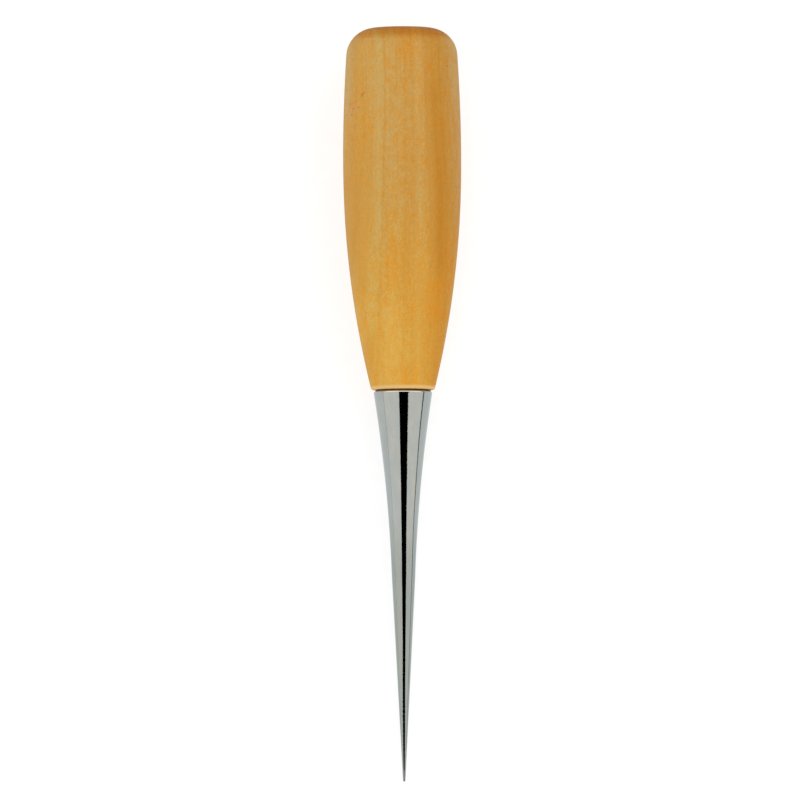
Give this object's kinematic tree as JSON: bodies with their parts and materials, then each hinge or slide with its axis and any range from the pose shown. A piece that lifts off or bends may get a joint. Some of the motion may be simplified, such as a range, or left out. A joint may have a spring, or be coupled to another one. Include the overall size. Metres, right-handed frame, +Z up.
{
  "type": "bookbinding awl",
  "caption": "Straight bookbinding awl with a turned wood handle and a chrome-plated steel spike that flares at the handle and tapers to a needle point.",
  "frame": {"origin": "bottom centre of the bounding box, on the surface that the awl lies on", "axes": "+Z up; +Y level, from the point towards the butt, so the awl's own axis rises 5.82 degrees above +Y; +X across the awl, to the right when seen from the point"},
  "size_m": [0.0243, 0.1548, 0.0267],
  "materials": {
    "lacquered_wood": "clear semi-gloss lacquer over straight-grained light hardwood",
    "chromed_steel": "polished chrome plating",
    "cured_glue": "dark amber cured epoxy"
  },
  "bodies": {
    "root": {"handle": "lacquered_wood", "blade": "chromed_steel", "tang_adhesive": "cured_glue"}
  },
  "joints": []
}
